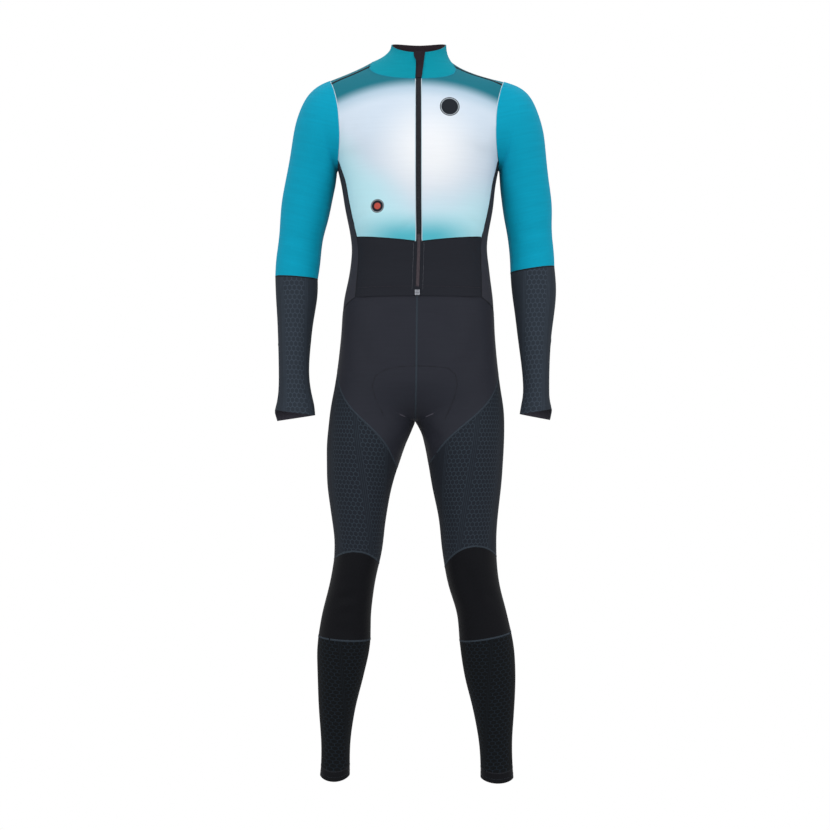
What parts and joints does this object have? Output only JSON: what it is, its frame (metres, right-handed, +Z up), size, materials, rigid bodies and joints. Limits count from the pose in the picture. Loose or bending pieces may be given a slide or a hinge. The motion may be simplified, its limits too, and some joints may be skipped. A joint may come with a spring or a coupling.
{
  "type": "cycling skinsuit",
  "caption": "Long-sleeved, long-legged cycling skinsuit with stand collar, front zip and lapped jersey hem, filled out as worn, hollow and open at neck, cuffs and ankles.",
  "frame": {"origin": "middle of the shoulders, inside the neck, where the wearer carries the suit", "axes": "+Z up, -Y towards the front of the suit, +X towards the wearer's left"},
  "size_m": [0.5414, 0.2355, 1.437],
  "materials": {
    "chest": "knitted stretch cloth, matt with a slight sheen",
    "teal": "knitted stretch cloth, matt with a slight sheen",
    "collar": "knitted stretch cloth, matt with a slight sheen",
    "lining": "matt knit",
    "jersey": "knitted stretch cloth, matt with a slight sheen",
    "side": "knitted stretch cloth, matt with a slight sheen",
    "tights": "knitted stretch cloth, matt with a slight sheen",
    "honeycomb": "knitted stretch cloth, matt with a slight sheen",
    "calf": "knitted stretch cloth, matt with a slight sheen",
    "knee": "knitted stretch cloth, matt with a slight sheen",
    "tape": "matt tape",
    "zip": "woven zip tape with a nylon coil",
    "metal": "dull grey metal"
  },
  "bodies": {
    "root": {"chest_right": "chest", "chest_left": "chest", "front_band_right": "jersey", "front_band_left": "jersey", "side_right": "side", "side_left": "side", "shoulder_tape_right": "tape", "shoulder_tape_left": "tape", "front_tights_right": "tights", "front_tights_left": "tights", "seat_right": "tights", "seat_left": "tights", "thigh_right": "honeycomb", "thigh_left": "honeycomb", "knee_right": "knee", "knee_left": "knee", "calf_right": "calf", "calf_left": "calf", "ankle_right": "knee", "ankle_left": "knee", "sleeve_right": "teal", "sleeve_left": "teal", "forearm_right": "honeycomb", "forearm_left": "honeycomb", "back": "teal", "collar": "collar", "collar_lining": "lining", "zip_tape": "zip", "zip_guard": "zip", "zip_box": "metal"}
  },
  "joints": []
}
